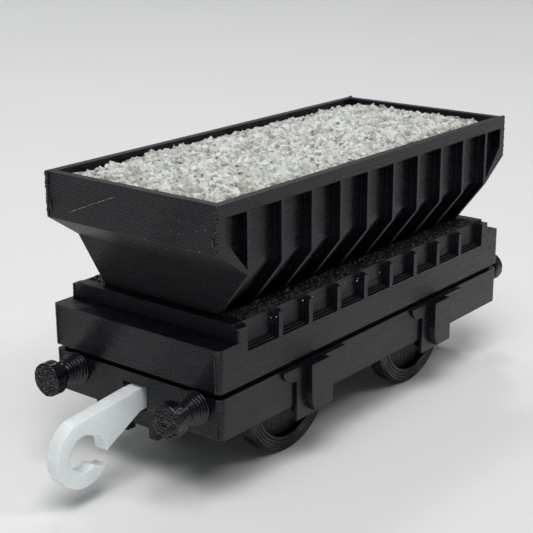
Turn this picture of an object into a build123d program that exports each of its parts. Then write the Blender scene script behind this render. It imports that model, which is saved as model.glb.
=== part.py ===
from build123d import *
import math
import os

# Model hopper car of a toy railway: a running frame with two wheelsets, a boxy underframe
# body, a panelled deck plinth and an open hopper with a lift-out load of ballast.
# Millimetres. X runs along the car with the hook at +X, Y across it, Z up.
# The origin is on the rail plane, under the middle of the car.

# ---- driving sizes ------------------------------------------------------------------------
body_length = 88.9
body_width = 38.0
wheel_radius = 11.6
wheelbase = 39.8
frame_depth = 7.2
seam_height = 1.05
body_height = 7.3
deck_height = 2.9
chute_height = 8.0
bin_height = 12.6

# ---- running frame ------------------------------------------------------------------------
frame_inset = 0.2
rail_drop = 0.1
side_wall = 2.0
beam_wall = 2.4
frame_roof = 1.8
seam_inset = 1.1
corner_radius = 1.0
slot_half_width = 2.7
slot_above_rail = 5.3
lug_inner = 2.5
wide_lug_outer = 9.8
narrow_lug_outer = 4.3
lug_drop = 4.1
lug_recess = 0.5
lug_thickness = 1.9
wheel_slot_gap = 0.9
wheel_slot_side_gap = 1.0

# ---- wheels and axles ---------------------------------------------------------------------
wheel_face = 14.05
wheel_width = 3.45
rim_width = 2.8
dish_depth = 1.6
inner_hub_radius = 3.0
inner_hub_length = 1.4
outer_hub_radius = 2.2
hub_end_gap = 0.4
axle_radius = 1.0
axle_end_gap = 0.2
axle_play = 0.06

# ---- axle guards --------------------------------------------------------------------------
guard_width = 10.5
guard_plate = 0.55
guard_drop = 2.8
guard_top_gap = 0.3
shield_width = 5.3
shield_foot_width = 3.3
shield_foot_gap = 1.0
shield_plate = 1.3
shield_curve_height = 3.6
flare_reach = 3.6
flare_height = 2.4
box_width = 5.0
box_height = 5.5
box_depth = 2.8
bore_wall = 0.5

# ---- buffers ------------------------------------------------------------------------------
buffer_spacing = 27.5
buffer_above_rail = 4.8
spigot_radius = 1.5
ring_count = 6
ring_pitch = 0.56
ring_land = 0.4
ring_groove = 0.22
housing_radius = 2.85
housing_tip_radius = 2.1
neck_radius = 1.7
neck_length = 1.45
head_radius = 3.0
head_length = 2.6
head_edge = 0.3

# ---- hook, bars and screws ----------------------------------------------------------------
hook_thickness = 2.75
hook_pivot_inset = 5.75
hook_eye_radius = 2.4
hook_above_rail = 0.75
hook_arm_height = 4.15
hook_ring_reach = 13.05
hook_ring_drop = 2.2
hook_ring_radius = 5.9
hook_mouth_radius = 3.1
hook_shoulder_reach = 1.4
hook_barb_tip = (8.3, 3.5)
hook_barb_top = (8.7, 1.2)
hook_tip_drop = 5.6
hook_tip_slope = (2.2, 0.3)
screw_radius = 1.0
screw_head_radius = 2.1
screw_head_height = 1.4
screw_head_crown = 0.7
screw_recess_width = 0.4
pivot_play = 0.05
eye_head_gap = 0.35
bar_height = 2.9
bar_thickness = 1.2
bar_let_in = 1.2
bar_drop = 2.5
tow_bar_radius = 1.0
tow_bar_drop = 1.8
body_screw_spacing = 58.0
screw_boss_radius = 3.0
screw_point_gap = 0.6

# ---- body, deck and hopper ----------------------------------------------------------------
body_wall = 2.4
body_roof = 2.0
deck_inset = 4.85
deck_post_count = 8
deck_post_pitch = 8.23
deck_post_width = 1.1
deck_corner_width = 2.2
deck_lip_height = 0.5
recess_steps = (0.45, 0.9, 1.35)
recess_step_inset = 0.3
recess_drop = 1.95
hopper_side_overhang = 0.15
hopper_foot_width = 26.0
chute_end_inset = 6.95
end_panel_height = 8.0
rib_count = 10
rib_height = 1.7
rib_step = 0.5
rib_base_width = 1.8
rib_web_width = 0.8
bin_wall = 1.3
end_wall = 1.5
rim_band = 2.2
rim_wall = 1.5
rim_ledge_depth = 1.7
post_width = 1.6
gusset_rise = 3.9
gusset_foot = 0.8
hopper_floor = 3.2

# ---- load ---------------------------------------------------------------------------------
load_gap = 0.35
load_edge_below_rim = 0.9
load_crown = 1.1
load_crown_inset = 5.0
load_plug_depth = 4.9

# ---- levels and stations worked out from the sizes above ----------------------------------
axle_z = wheel_radius
frame_z = axle_z - rail_drop
frame_top = frame_z + frame_depth
frame_ceiling = frame_top - frame_roof
body_z = frame_top + seam_height
body_top = body_z + body_height
deck_top = body_top + deck_height
recess_z = body_top - recess_drop
bend_z = deck_top + chute_height
rim_z = bend_z + bin_height
half_frame = body_length / 2 - frame_inset
half_body = body_length / 2
half_width = body_width / 2
half_deck = half_body - deck_inset
half_chute = half_body - chute_end_inset
half_rim = half_body - frame_inset / 2
axle_x = wheelbase / 2
buffer_z = frame_z + buffer_above_rail
hopper_half_width = half_width + hopper_side_overhang
chute_angle = math.atan2(hopper_half_width - hopper_foot_width / 2, chute_height)
hopper_floor_top = deck_top + hopper_floor
ends = (("front", 1), ("rear", -1))
sides = (("left", 1), ("right", -1))


def side_plane(x, y, side):
    """Plane facing out of one long side, its own Y axis pointing up."""
    return Plane(origin=(x, side * y, 0), x_dir=(-side, 0, 0), z_dir=(0, side, 0))


def end_plane(x, end):
    """Plane facing out of one end of the car, its own Y axis pointing up."""
    return Plane(origin=(end * x, 0, 0), x_dir=(0, end, 0), z_dir=(end, 0, 0))


def hopper_section(depth, top):
    """Points of the hopper's cross section, its skin moved in by depth."""
    upper = hopper_half_width - depth
    foot = hopper_foot_width / 2 - depth / math.cos(chute_angle)
    knee = deck_top + (upper - foot) / math.tan(chute_angle)
    half = [(foot, deck_top), (upper, knee), (upper, top)]
    return half + [(-y, z) for y, z in reversed(half)]


def recess_bays():
    """Centre and length of each recess along a side, from one end post to the other."""
    first_post = -(deck_post_count - 1) / 2 * deck_post_pitch
    posts = [first_post + index * deck_post_pitch for index in range(deck_post_count)]
    starts = [deck_corner_width - half_deck] + [post + deck_post_width / 2 for post in posts]
    stops = [post - deck_post_width / 2 for post in posts] + [half_deck - deck_corner_width]
    return [((start + stop) / 2, stop - start) for start, stop in zip(starts, stops)]


def cut_recesses(low, high):
    """Cut the part of both sides' stepped recesses that lies between two levels."""
    for step, depth in enumerate(recess_steps):
        inset = step * recess_step_inset
        foot = max(low, recess_z + inset)
        with BuildSketch(Plane.XY.offset(foot)) as recesses:
            for centre, length in recess_bays():
                with Locations((centre, half_width - depth / 2), (centre, depth / 2 - half_width)):
                    Rectangle(length - 2 * inset, depth)
        extrude(recesses.sketch, amount=high - foot, mode=Mode.SUBTRACT)


def save(part, name):
    """Label a finished piece and write it under its node name."""
    part.label = name
    export_step(part, f"parts/{name}.step")


os.makedirs("parts", exist_ok=True)

# ---- running frame: an open-bottomed tray with end beams ----------------------------------
slot_top = frame_z + slot_above_rail
half_bay_length = half_frame - beam_wall
half_bay_width = half_width - side_wall
wheel_inner = wheel_face - wheel_width
slot_inner = wheel_inner - wheel_slot_side_gap
slot_outer = wheel_face + wheel_slot_side_gap
wheel_slot_length = 2 * (wheel_radius + wheel_slot_gap)
lug_x = half_frame - lug_recess - lug_thickness / 2
bar_z = frame_z - bar_drop + bar_height / 2
tow_bar_z = frame_z - tow_bar_drop
pivot_x = half_frame - hook_pivot_inset
screw_x = body_screw_spacing / 2

with BuildPart() as chassis_frame:
    with BuildSketch(Plane.XY.offset(frame_z)):
        RectangleRounded(2 * half_frame, body_width, corner_radius)
    extrude(amount=frame_depth)
    with BuildSketch(Plane.XY.offset(frame_top)):
        Rectangle(2 * (half_frame - seam_inset), body_width - 2 * seam_inset)
    extrude(amount=seam_height)
    with BuildSketch(Plane.XY.offset(frame_z)):
        Rectangle(2 * half_bay_length, 2 * half_bay_width)
    extrude(amount=frame_depth - frame_roof, mode=Mode.SUBTRACT)
    # Wells let the tall wheels rise through the roof of the tray.
    well_width = slot_outer - slot_inner
    well_y = (slot_outer + slot_inner) / 2
    with BuildSketch(Plane.XY.offset(frame_ceiling)):
        with GridLocations(wheelbase, 2 * well_y, 2, 2):
            Rectangle(wheel_slot_length, well_width)
    extrude(amount=frame_roof + seam_height, mode=Mode.SUBTRACT)
    # Both end beams are notched for the coupling. Seen from outside each end, a narrow lug
    # hangs to the right of the notch and a wide one to the left.
    for _, end in ends:
        with BuildSketch(end_plane(half_bay_length, end)):
            with Locations((0, (frame_z + slot_top) / 2)):
                Rectangle(2 * slot_half_width, slot_top - frame_z)
        extrude(amount=beam_wall, mode=Mode.SUBTRACT)
        with BuildSketch(end_plane(lug_x - lug_thickness / 2, end)):
            for side, lug_outer in ((1, narrow_lug_outer), (-1, wide_lug_outer)):
                with Locations((side * (lug_inner + lug_outer) / 2, frame_z - lug_drop / 2)):
                    Rectangle(lug_outer - lug_inner, lug_drop)
        extrude(amount=lug_thickness)
        with BuildSketch(end_plane(half_bay_length, end)):
            with Locations((buffer_spacing / 2, buffer_z), (-buffer_spacing / 2, buffer_z)):
                Circle(spigot_radius)
        extrude(amount=beam_wall, mode=Mode.SUBTRACT)
    # Pockets for the flat front bar and round holes for the rear tow bar.
    with BuildSketch(end_plane(lug_x - bar_thickness / 2, 1)):
        with Locations((0, bar_z)):
            Rectangle(2 * (lug_inner + bar_let_in), bar_height)
    extrude(amount=bar_thickness, mode=Mode.SUBTRACT)
    with BuildSketch(Plane.XZ):
        with Locations((-lug_x, tow_bar_z)):
            Circle(tow_bar_radius)
    extrude(amount=lug_inner + bar_let_in, both=True, mode=Mode.SUBTRACT)
    # Notches in the side rails seat the backs of the axle guards.
    for side in (1, -1):
        with BuildSketch(side_plane(0, half_bay_width, side)):
            notch_top = frame_z - guard_drop + box_height
            with Locations((axle_x, (frame_z + notch_top) / 2), (-axle_x, (frame_z + notch_top) / 2)):
                Rectangle(box_width, notch_top - frame_z)
        extrude(amount=side_wall, mode=Mode.SUBTRACT)
    # Screw holes: two for the body screws and one for the hook's pivot.
    with BuildSketch(Plane.XY.offset(frame_ceiling)):
        with Locations((screw_x, 0), (-screw_x, 0), (pivot_x, 0)):
            Circle(screw_radius)
    extrude(amount=frame_roof + seam_height, mode=Mode.SUBTRACT)
save(chassis_frame.part, "chassis_frame")

# ---- underframe body: a shallow box, open below, over the wheel tops -----------------------
with BuildPart() as underframe_body:
    with BuildSketch(Plane.XY.offset(body_z)):
        RectangleRounded(body_length, body_width, corner_radius)
    extrude(amount=body_height)
    with BuildSketch(Plane.XY.offset(body_z)):
        Rectangle(body_length - 2 * body_wall, body_width - 2 * body_wall)
    extrude(amount=body_height - body_roof, mode=Mode.SUBTRACT)
    with BuildSketch(Plane.XY.offset(body_z)):
        with Locations((screw_x, 0), (-screw_x, 0)):
            Circle(screw_boss_radius)
    extrude(amount=body_height - body_roof)
    with BuildSketch(Plane.XY.offset(body_z)):
        with Locations((screw_x, 0), (-screw_x, 0)):
            Circle(screw_radius)
    extrude(amount=body_height, mode=Mode.SUBTRACT)
    # The feet of the side recesses reach down into the body.
    cut_recesses(body_z, body_top)
save(underframe_body.part, "underframe_body")

# ---- deck plinth: posts along both sides with stepped recesses between them -----------------
with BuildPart() as deck_plinth:
    with BuildSketch(Plane.XY.offset(body_top)):
        Rectangle(2 * half_deck, body_width)
    extrude(amount=deck_height)
    cut_recesses(body_top, deck_top)
    # Above the posts the sides step back to the recess wall.
    lip_depth = recess_steps[-1]
    with BuildSketch(Plane.XY.offset(deck_top - deck_lip_height)):
        with Locations((0, half_width - lip_depth / 2), (0, lip_depth / 2 - half_width)):
            Rectangle(2 * half_deck, lip_depth)
    extrude(amount=deck_lip_height, mode=Mode.SUBTRACT)
    with BuildSketch(Plane.XY.offset(body_top)):
        with Locations((screw_x, 0), (-screw_x, 0)):
            Circle(screw_radius)
    extrude(amount=deck_height, mode=Mode.SUBTRACT)
save(deck_plinth.part, "deck_plinth")

# ---- hopper: sloping chute below, upright ribbed bin above, banded rim ---------------------
end_slope = (bin_height - end_panel_height) / (half_rim - half_chute)
end_break_z = rim_z - end_panel_height
panel_half_width = hopper_half_width - rib_height
rib_pitch = (2 * half_chute - rib_base_width) / (rib_count - 1)
inner_half_rim = half_rim - end_wall
inner_half_chute = half_chute - end_wall
cavity_half_width = panel_half_width - bin_wall
cavity_section = hopper_section(rib_height + bin_wall, rim_z)
cavity_knee_z = cavity_section[1][1]
inner_slope_lift = end_wall / math.cos(math.atan(end_slope))
inner_break_z = end_break_z - end_slope * end_wall + inner_slope_lift
inner_slope_x = inner_half_rim - (inner_break_z - cavity_knee_z) / end_slope
screw_tip_z = hopper_floor_top - screw_point_gap


def end_slope_z(x):
    """Height of the sloping underside of an end overhang at station x."""
    return bend_z + (x - half_chute) * end_slope


with BuildPart() as hopper_bin:
    # Trough between the two lower end panels, skin set in by the height of the ribs.
    with BuildSketch(Plane.YZ):
        Polygon(*hopper_section(rib_height, rim_z), align=None)
    extrude(amount=half_chute, both=True)
    for _, end in ends:
        # Overhanging end with its sloping underside.
        with BuildSketch(Plane.XZ):
            overhang = [(half_chute, bend_z), (half_rim, end_break_z)]
            overhang += [(half_rim, rim_z), (half_chute, rim_z)]
            Polygon(*[(end * x, z) for x, z in overhang], align=None)
        extrude(amount=panel_half_width, both=True)
        # Corner posts and triangular gussets reach out to the line of the ribs.
        post_x = half_rim - post_width
        with BuildSketch(Plane.XZ):
            post = [(post_x, end_slope_z(post_x)), (half_rim, end_break_z)]
            post += [(half_rim, rim_z), (post_x, rim_z)]
            Polygon(*[(end * x, z) for x, z in post], align=None)
            gusset = [(half_chute, bend_z), (half_rim, end_break_z)]
            gusset += [(half_rim, end_break_z + gusset_rise), (half_chute, bend_z + gusset_foot)]
            Polygon(*[(end * x, z) for x, z in gusset], align=None)
        extrude(amount=hopper_half_width, both=True)
    # Stepped ribs follow the wall down and bend in along the chute.
    for index in range(rib_count):
        centre = -half_chute + rib_base_width / 2 + index * rib_pitch
        with BuildSketch(Plane.YZ.offset(centre - rib_base_width / 2)):
            Polygon(*hopper_section(rib_height - rib_step, rim_z), align=None)
        extrude(amount=rib_base_width)
        # The outermost webs lie flush with the lower end panels.
        shift = 0
        if index == 0:
            shift = (rib_web_width - rib_base_width) / 2
        if index == rib_count - 1:
            shift = (rib_base_width - rib_web_width) / 2
        with BuildSketch(Plane.YZ.offset(centre + shift - rib_web_width / 2)):
            Polygon(*hopper_section(0, rim_z), align=None)
        extrude(amount=rib_web_width)
    # Rim band around the top.
    with BuildSketch(Plane.XY.offset(rim_z - rim_band)):
        Rectangle(2 * half_rim, 2 * hopper_half_width)
    extrude(amount=rim_band)
    # Hollow of the chute, then of the bin with its overhanging ends.
    with BuildSketch(Plane.YZ):
        with BuildLine():
            Polyline(*cavity_section, close=True)
        make_face()
        with Locations((0, deck_top + hopper_floor / 2)):
            Rectangle(body_width, hopper_floor, mode=Mode.SUBTRACT)
    extrude(amount=inner_half_chute, both=True, mode=Mode.SUBTRACT)
    with BuildSketch(Plane.XZ):
        right_half = [(inner_slope_x, cavity_knee_z), (inner_half_rim, inner_break_z)]
        right_half += [(inner_half_rim, rim_z)]
        Polygon(*right_half, *[(-x, z) for x, z in reversed(right_half)], align=None)
    extrude(amount=cavity_half_width, both=True, mode=Mode.SUBTRACT)
    # Wider mouth inside the rim, whose ledge carries the load.
    with BuildSketch(Plane.XY.offset(rim_z - rim_ledge_depth)):
        Rectangle(2 * inner_half_rim, 2 * (hopper_half_width - rim_wall))
    extrude(amount=rim_ledge_depth, mode=Mode.SUBTRACT)
    # Blind screw holes in the thick floor.
    with BuildSketch(Plane.XY.offset(deck_top)):
        with Locations((screw_x, 0), (-screw_x, 0)):
            Circle(screw_radius)
    extrude(amount=screw_tip_z - deck_top, mode=Mode.SUBTRACT)
save(hopper_bin.part, "hopper_bin")

# ---- load of ballast: a slab that rests on the ledge, a plug below and a crowned top -------
ledge_z = rim_z - rim_ledge_depth
load_edge_z = rim_z - load_edge_below_rim
load_half_length = inner_half_rim - load_gap
load_half_width = hopper_half_width - rim_wall - load_gap

with BuildPart() as ballast_load:
    with BuildSketch(Plane.XY.offset(ledge_z)):
        Rectangle(2 * load_half_length, 2 * load_half_width)
    extrude(amount=load_edge_z - ledge_z)
    with BuildSketch(Plane.XY.offset(load_edge_z)):
        Rectangle(2 * load_half_length, 2 * load_half_width)
    with BuildSketch(Plane.XY.offset(load_edge_z + load_crown)):
        Rectangle(2 * (load_half_length - load_crown_inset), 2 * (load_half_width - load_crown_inset))
    loft()
    with BuildSketch(Plane.XY.offset(ledge_z - load_plug_depth)):
        Rectangle(2 * load_half_length, 2 * (cavity_half_width - load_gap))
    extrude(amount=load_plug_depth)
save(ballast_load.part, "ballast_load")

# ---- axle guards: plate, raised shield, top flares and a bearing box behind ----------------
guard_z = frame_z - guard_drop
guard_top = frame_top - guard_top_gap
box_face = half_width - box_depth
axle_half_length = half_width + guard_plate + shield_plate - bore_wall - axle_end_gap

for end_name, end in ends:
    for side_name, side in sides:
        with BuildPart() as axle_guard:
            face = side_plane(end * axle_x, half_width, side)
            with BuildSketch(face):
                with Locations((0, (guard_z + guard_top) / 2)):
                    Rectangle(guard_width, guard_top - guard_z)
                for hand in (1, -1):
                    with BuildLine():
                        corner = (hand * guard_width / 2, guard_top)
                        tip = (hand * (guard_width / 2 + flare_reach), guard_top)
                        root = (hand * guard_width / 2, guard_top - flare_height)
                        Line(root, corner)
                        Line(corner, tip)
                        first_angle = 270 if hand > 0 else 180
                        EllipticalCenterArc(corner, flare_reach, flare_height, first_angle, arc_size=90)
                    make_face()
            extrude(amount=guard_plate)
            # Shield with straight flanks that curve in to a narrower foot.
            with BuildSketch(face.offset(guard_plate)):
                with BuildLine():
                    foot_z = guard_z + shield_foot_gap
                    knee_z = foot_z + shield_curve_height
                    foot = shield_foot_width / 2
                    flank = shield_width / 2
                    Polyline((-flank, knee_z), (-flank, guard_top), (flank, guard_top), (flank, knee_z))
                    TangentArc((flank, knee_z), (foot, foot_z), tangent=(0, -1))
                    Line((foot, foot_z), (-foot, foot_z))
                    TangentArc((-flank, knee_z), (-foot, foot_z), tangent=(0, -1))
                make_face()
            extrude(amount=shield_plate)
            with BuildSketch(side_plane(end * axle_x, box_face, side)):
                with Locations((0, guard_z + box_height / 2)):
                    Rectangle(box_width, box_height)
            extrude(amount=box_depth)
            with BuildSketch(side_plane(end * axle_x, box_face, side)):
                with Locations((0, axle_z)):
                    Circle(axle_radius + axle_play)
            bore_depth = axle_half_length + axle_end_gap - box_face
            extrude(amount=bore_depth, mode=Mode.SUBTRACT)
        save(axle_guard.part, f"axle_guard_{end_name}_{side_name}")

# ---- wheelsets: a steel axle and two dished disc wheels each -------------------------------
outer_hub_end = box_face - hub_end_gap

for end_name, end in ends:
    with BuildPart() as axle:
        with BuildSketch(Plane.XZ):
            with Locations((end * axle_x, axle_z)):
                Circle(axle_radius)
        extrude(amount=axle_half_length, both=True)
        chamfer(axle.edges(), length=axle_radius / 5)
    save(axle.part, f"axle_{end_name}")
    for side_name, side in sides:
        with BuildPart() as wheel:
            with BuildSketch(side_plane(end * axle_x, wheel_inner, side)):
                with Locations((0, axle_z)):
                    Circle(wheel_radius)
            extrude(amount=wheel_width)
            rim_edges = wheel.edges().filter_by(GeomType.CIRCLE)
            chamfer(rim_edges, length=rim_width / 8)
            with BuildSketch(side_plane(end * axle_x, wheel_face - dish_depth, side)):
                with Locations((0, axle_z)):
                    Circle(wheel_radius - rim_width)
            extrude(amount=dish_depth, mode=Mode.SUBTRACT)
            with BuildSketch(side_plane(end * axle_x, wheel_inner - inner_hub_length, side)):
                with Locations((0, axle_z)):
                    Circle(inner_hub_radius)
            extrude(amount=inner_hub_length)
            with BuildSketch(side_plane(end * axle_x, wheel_face - dish_depth, side)):
                with Locations((0, axle_z)):
                    Circle(outer_hub_radius)
            extrude(amount=outer_hub_end - wheel_face + dish_depth)
            with BuildSketch(side_plane(end * axle_x, 0, side)):
                with Locations((0, axle_z)):
                    Circle(axle_radius)
            extrude(amount=body_width, mode=Mode.SUBTRACT)
        save(wheel.part, f"wheel_{end_name}_{side_name}")

# ---- buffers: spigot, ringed housing, neck and broad head ----------------------------------
housing_length = ring_count * ring_pitch
head_start = housing_length + neck_length
buffer_reach = head_start + head_length

buffer_profile = [(-beam_wall, 0), (-beam_wall, spigot_radius), (0, spigot_radius)]
for ring in range(ring_count):
    taper = ring / (ring_count - 1)
    ring_radius = housing_radius + (housing_tip_radius - housing_radius) * taper
    ring_start = ring * ring_pitch
    buffer_profile += [(ring_start, ring_radius), (ring_start + ring_land, ring_radius)]
    buffer_profile += [(ring_start + ring_land, ring_radius - ring_groove)]
    buffer_profile += [(ring_start + ring_pitch, ring_radius - ring_groove)]
buffer_profile += [(housing_length, neck_radius), (head_start, neck_radius)]
buffer_profile += [(head_start, head_radius - head_edge), (head_start + head_edge, head_radius)]
buffer_profile += [(buffer_reach - head_edge, head_radius), (buffer_reach, head_radius - head_edge)]
buffer_profile += [(buffer_reach, 0)]

for end_name, end in ends:
    for side_name, side in sides:
        with BuildPart() as buffer:
            seat = (end * half_frame, side * buffer_spacing / 2, buffer_z)
            with BuildSketch(Plane(origin=seat, x_dir=(end, 0, 0), z_dir=(0, 1, 0))):
                Polygon(*buffer_profile, align=None)
            revolve(axis=Axis(seat, (end, 0, 0)))
        save(buffer.part, f"buffer_{end_name}_{side_name}")

# ---- coupling hook: an upright plate with an eye, an arm and a C-shaped ring ---------------
hook_z = frame_z + hook_above_rail
hook_top = hook_z + hook_arm_height
ring_x = half_frame + hook_ring_reach
ring_z = frame_z - hook_ring_drop
shoulder_x = half_frame + hook_shoulder_reach
barb_tip = (half_frame + hook_barb_tip[0], frame_z - hook_barb_tip[1])
barb_top = (half_frame + hook_barb_top[0], frame_z - hook_barb_top[1])
shoulder_reach = math.hypot(ring_x - shoulder_x, hook_top - ring_z)
shoulder_angle = math.atan2(hook_top - ring_z, shoulder_x - ring_x)
tangent_angle = shoulder_angle - math.acos(hook_ring_radius / shoulder_reach)
tangent_point = (ring_x + hook_ring_radius * math.cos(tangent_angle),
                 ring_z + hook_ring_radius * math.sin(tangent_angle))
tip_top_z = frame_z - hook_tip_drop
tip_back = (barb_tip[0] + hook_tip_slope[0], tip_top_z - hook_tip_slope[1])

with BuildPart() as coupling_hook:
    with BuildSketch(Plane.XZ):
        with Locations((ring_x, ring_z)):
            Circle(hook_ring_radius)
        arm = [(pivot_x, hook_z), (half_frame, hook_z), barb_tip]
        arm += [(ring_x, barb_tip[1]), tangent_point, (shoulder_x, hook_top)]
        arm += [(pivot_x, hook_top)]
        Polygon(*arm, align=None)
        with Locations((ring_x, ring_z)):
            Circle(hook_mouth_radius, mode=Mode.SUBTRACT)
        # Back of the mouth: upright face of the barb, then the gap above the tip of the C.
        mouth = [(ring_x, ring_z + hook_mouth_radius), barb_top, barb_tip]
        mouth += [(barb_tip[0] - hook_ring_radius, barb_tip[1])]
        mouth += [(barb_tip[0] - hook_ring_radius, tip_top_z), tip_back]
        mouth += [(ring_x, ring_z - hook_mouth_radius)]
        Polygon(*mouth, align=None, mode=Mode.SUBTRACT)
    extrude(amount=hook_thickness / 2, both=True)
    with BuildSketch(Plane.XY.offset(hook_z)):
        with Locations((pivot_x, 0)):
            Circle(hook_eye_radius)
    extrude(amount=hook_arm_height)
    with BuildSketch(Plane.XY.offset(hook_z)):
        with Locations((pivot_x, 0)):
            Circle(screw_radius + pivot_play)
    extrude(amount=hook_arm_height, mode=Mode.SUBTRACT)
save(coupling_hook.part, "coupling_hook")

# ---- cross bars between the lugs -----------------------------------------------------------
with BuildPart() as front_cross_bar:
    with BuildSketch(end_plane(lug_x - bar_thickness / 2, 1)):
        with Locations((0, bar_z)):
            Rectangle(2 * (lug_inner + bar_let_in), bar_height)
    extrude(amount=bar_thickness)
save(front_cross_bar.part, "front_cross_bar")

with BuildPart() as rear_tow_bar:
    with BuildSketch(Plane.XZ):
        with Locations((-lug_x, tow_bar_z)):
            Circle(tow_bar_radius)
    extrude(amount=lug_inner + bar_let_in, both=True)
save(rear_tow_bar.part, "rear_tow_bar")


def pan_head_screw(x, head_top, tip):
    """Profile of an upright pan-head screw, head below, turned about its axis."""
    head_z = head_top - screw_head_height
    with BuildPart() as screw:
        with BuildSketch(Plane(origin=(x, 0, 0), x_dir=(1, 0, 0), z_dir=(0, -1, 0))):
            outline = [(0, head_z), (screw_head_radius * screw_head_crown, head_z)]
            outline += [(screw_head_radius, head_z + screw_head_height / 2)]
            outline += [(screw_head_radius, head_top), (screw_radius, head_top)]
            outline += [(screw_radius, tip - screw_radius / 2), (screw_radius / 2, tip), (0, tip)]
            Polygon(*outline, align=None)
        revolve(axis=Axis((x, 0, 0), (0, 0, 1)))
        # Cross recess in the head.
        with BuildSketch(Plane.XY.offset(head_z)):
            with Locations((x, 0)):
                Rectangle(screw_head_radius, screw_recess_width)
                Rectangle(screw_recess_width, screw_head_radius)
        extrude(amount=screw_head_height / 2, mode=Mode.SUBTRACT)
    return screw.part


# ---- screws: two hold frame, body, deck and hopper together, one carries the hook ----------
for end_name, end in ends:
    save(pan_head_screw(end * screw_x, frame_ceiling, screw_tip_z), f"body_screw_{end_name}")
save(pan_head_screw(pivot_x, hook_z - eye_head_gap, body_z), "hook_pivot_screw")
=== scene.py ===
import math
import random

import bmesh
import bpy
import numpy as np
from mathutils import Matrix, Vector, noise


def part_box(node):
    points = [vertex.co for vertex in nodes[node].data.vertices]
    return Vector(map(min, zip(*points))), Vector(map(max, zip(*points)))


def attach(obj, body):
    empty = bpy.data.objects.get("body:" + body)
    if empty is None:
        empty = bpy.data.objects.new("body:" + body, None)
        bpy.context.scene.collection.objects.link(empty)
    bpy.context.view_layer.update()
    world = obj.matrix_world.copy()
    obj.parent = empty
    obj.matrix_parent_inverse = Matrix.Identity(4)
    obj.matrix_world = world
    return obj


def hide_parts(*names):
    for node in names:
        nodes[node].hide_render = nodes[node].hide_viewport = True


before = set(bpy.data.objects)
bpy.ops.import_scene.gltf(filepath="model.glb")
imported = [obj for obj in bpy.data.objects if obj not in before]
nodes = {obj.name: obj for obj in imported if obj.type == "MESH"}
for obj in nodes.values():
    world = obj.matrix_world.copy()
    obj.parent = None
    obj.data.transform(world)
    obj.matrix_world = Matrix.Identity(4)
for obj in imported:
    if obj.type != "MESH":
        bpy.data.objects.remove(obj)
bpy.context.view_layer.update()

# Look of a layer-printed black toy hopper car with a pale crumbly load and a milky hook.
# Metres. X runs along the car with the hook at +X, Y across it, Z up from the rail plane.

MM = 0.001
ends = (("front", 1), ("rear", -1))
sides = (("left", 1), ("right", -1))

# The camera, from the photograph's viewing angle.
camera_azimuth = math.radians(38.70)
camera_elevation = math.radians(17.60)
camera_roll = math.radians(-0.278)
camera_lens = 86.13
camera_spot = (184.1 * MM, 140.4 * MM, 99.7 * MM)

# Sizes of the printed texture. print_line is coarser than a layer, so that the lines show.
layer_height = 0.2 * MM
print_line = 0.3 * MM
raster_line = 0.62 * MM
web_bar = 0.5 * MM
wobble_size = 0.9 * MM

# Sizes that the scene shares with the model.
wheel_inner = 10.6 * MM
wheel_face = 14.05 * MM
wheel_rim_width = 2.8 * MM
wheel_dish_depth = 1.6 * MM
wheel_inner_hub = 3.0 * MM
wheel_outer_hub = 2.2 * MM
buffer_rings = 6
buffer_ring_pitch = 0.56 * MM
buffer_spigot = 2.4 * MM
buffer_neck = 1.45 * MM
hook_ring_radius = 5.9 * MM
hook_mouth_radius = 3.1 * MM
hook_half_width = 1.375 * MM
hook_eye_radius = 2.4 * MM
hook_eye_bore = 1.05 * MM
hopper_foot = 13.3 * MM
lug_drop = 4.1 * MM
wheel_web_radius = 8.8 * MM
seam_height = 1.05 * MM
end_panel_height = 8.0 * MM

# How deep the layer lines are, in millimetres, and how the buffers differ.
wall_relief = 0.078
wheel_relief = 0.13
buffer_relief = 0.02
buffer_ior = 1.55
buffer_gloss = (0.09, 0.16)
plastic_ior = 1.45
plastic_gloss = (0.16, 0.25)

# Colours, linear.
black_tint = (0.0034, 0.0040, 0.0078)
dust_grey = (0.20, 0.20, 0.195, 1.0)
warm_grit = (0.40, 0.375, 0.31, 1.0)
sky_colour = (0.93, 0.96, 1.0, 1.0)
sky_strength = 0.15


# ---- camera -------------------------------------------------------------------------------
def make_camera():
    """Camera low over the hook end, looking along the left side."""
    back = Vector((math.cos(camera_azimuth) * math.cos(camera_elevation),
                   math.sin(camera_azimuth) * math.cos(camera_elevation), math.sin(camera_elevation)))
    right = Vector((-math.sin(camera_azimuth), math.cos(camera_azimuth), 0))
    up = back.cross(right)
    tilted_right = right * math.cos(camera_roll) + up * math.sin(camera_roll)
    tilted_up = up * math.cos(camera_roll) - right * math.sin(camera_roll)
    data = bpy.data.cameras.new("camera")
    data.sensor_width = 36.0
    data.lens = camera_lens
    data.clip_start = 0.005
    data.clip_end = 20.0
    camera = bpy.data.objects.new("camera", data)
    camera.matrix_world = Matrix((
        (tilted_right.x, tilted_up.x, back.x, camera_spot[0]),
        (tilted_right.y, tilted_up.y, back.y, camera_spot[1]),
        (tilted_right.z, tilted_up.z, back.z, camera_spot[2]),
        (0, 0, 0, 1)))
    bpy.context.scene.collection.objects.link(camera)
    bpy.context.scene.camera = camera


# ---- mesh helpers -------------------------------------------------------------------------
def name_seed(text):
    """Small steady number from a name."""
    return sum((place + 1) * ord(letter) for place, letter in enumerate(text)) % 9973


def add_mesh(name, points, faces, material, smooth=False):
    """New mesh object from points and faces, wearing one material."""
    mesh = bpy.data.meshes.new(name)
    mesh.from_pydata([tuple(p) for p in points], [], faces)
    mesh.update()
    piece = bpy.data.objects.new(name, mesh)
    bpy.context.scene.collection.objects.link(piece)
    piece.data.materials.append(material)
    for polygon in mesh.polygons:
        polygon.use_smooth = smooth
    return piece


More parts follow.
